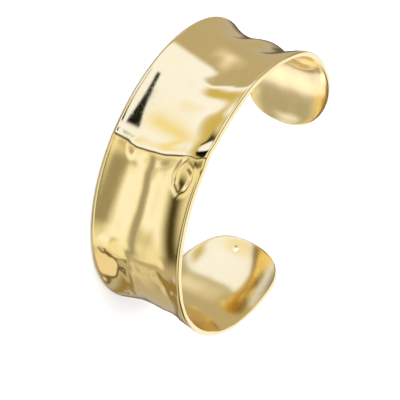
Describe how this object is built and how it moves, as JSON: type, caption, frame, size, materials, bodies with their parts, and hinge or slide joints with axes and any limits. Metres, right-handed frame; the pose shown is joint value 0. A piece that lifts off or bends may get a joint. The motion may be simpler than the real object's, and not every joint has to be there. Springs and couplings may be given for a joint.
{
  "type": "cuff bracelet",
  "caption": "Open cuff bracelet: one polished metal band with rounded tips and flared edges, pushed in and out by soft folds, worn round a wrist.",
  "frame": {"origin": "middle of the box that holds the band, on the plane of the edge that it lies on", "axes": "+Z along the wrist, away from the edge that the band lies on; +Y out through the gap between the tips; +X towards the tip with the hole"},
  "size_m": [0.0666, 0.0534, 0.0239],
  "materials": {
    "polished_gold": "mirror polish over gold plate, with fine wear on the ridges"
  },
  "bodies": {
    "root": {"cuff_band": "polished_gold"}
  },
  "joints": []
}
